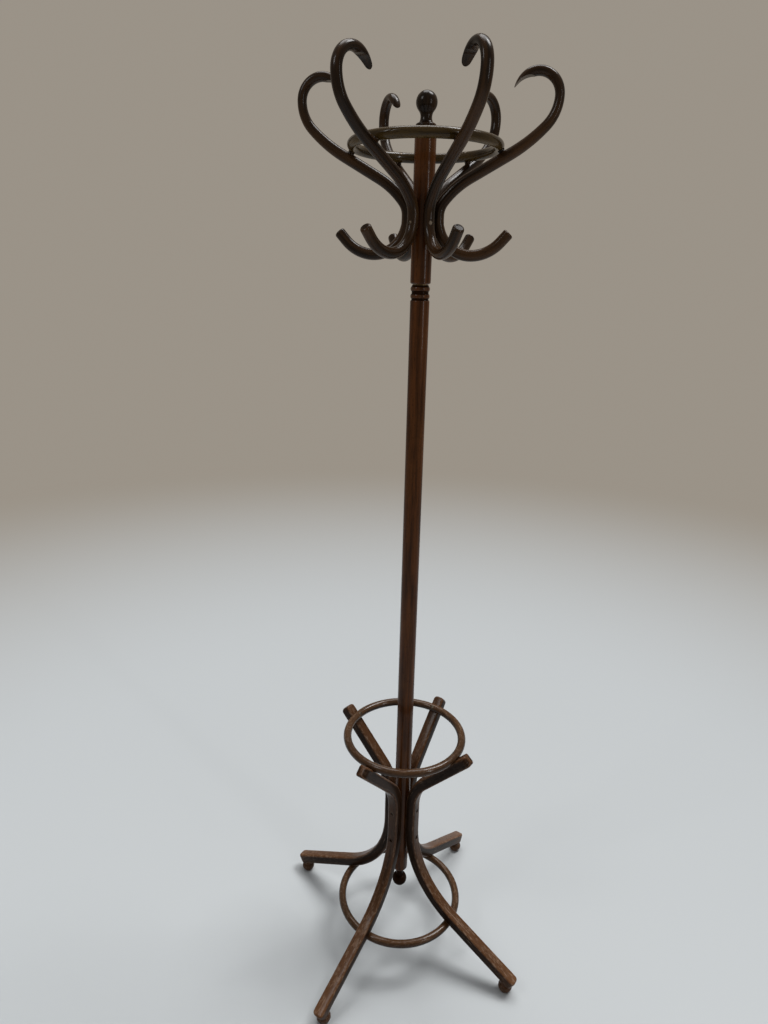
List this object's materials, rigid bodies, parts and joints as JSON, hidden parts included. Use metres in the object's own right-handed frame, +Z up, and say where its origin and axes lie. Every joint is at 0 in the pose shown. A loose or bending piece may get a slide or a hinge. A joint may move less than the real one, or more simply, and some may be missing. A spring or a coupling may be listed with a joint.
{
  "type": "standing coat rack",
  "caption": "Bentwood standing coat rack: turned post, turning crown of curled arms with lower hooks, splayed bent legs, umbrella ring and lower ring.",
  "frame": {"origin": "on the floor, on the axis of the post, at the middle of the four feet", "axes": "+Z up along the post; -Y is the front, so the legs stand at 45 degrees to X and Y"},
  "size_m": [0.4722, 0.4722, 1.9045],
  "materials": {
    "stained_beech_dark": "glossy dark brown stain and lacquer",
    "stained_beech_warm": "glossy red-brown stain and lacquer",
    "stained_beech_worn": "worn brown stain and lacquer",
    "steel": "plain steel",
    "brass": "plain brass"
  },
  "bodies": {
    "stand": {"post_lower": "stained_beech_warm", "spindle": "steel", "thrust_washer": "brass", "leg_back_right": "stained_beech_warm", "leg_back_left": "stained_beech_warm", "leg_front_left": "stained_beech_warm", "leg_front_right": "stained_beech_warm", "leg_screws": "steel", "umbrella_ring": "stained_beech_worn", "umbrella_ring_screws": "steel", "lower_ring": "stained_beech_worn", "lower_ring_screws": "steel", "foot_buns": "stained_beech_worn"},
    "crown": {"post_upper": "stained_beech_warm", "finial": "stained_beech_dark", "coat_arm_1": "stained_beech_dark", "coat_arm_2": "stained_beech_dark", "coat_arm_3": "stained_beech_dark", "coat_arm_4": "stained_beech_dark", "coat_arm_5": "stained_beech_dark", "coat_arm_6": "stained_beech_dark", "arm_screws": "steel", "crown_ring": "stained_beech_dark", "ring_spacers": "stained_beech_dark", "crown_ring_screws": "steel"}
  },
  "joints": [
    {"name": "crown_swivel", "type": "hinge", "parent": "stand", "child": "crown", "pos_m": [0, 0, 1.5575], "axis": [0, 0, 1], "continuous": true}
  ]
}
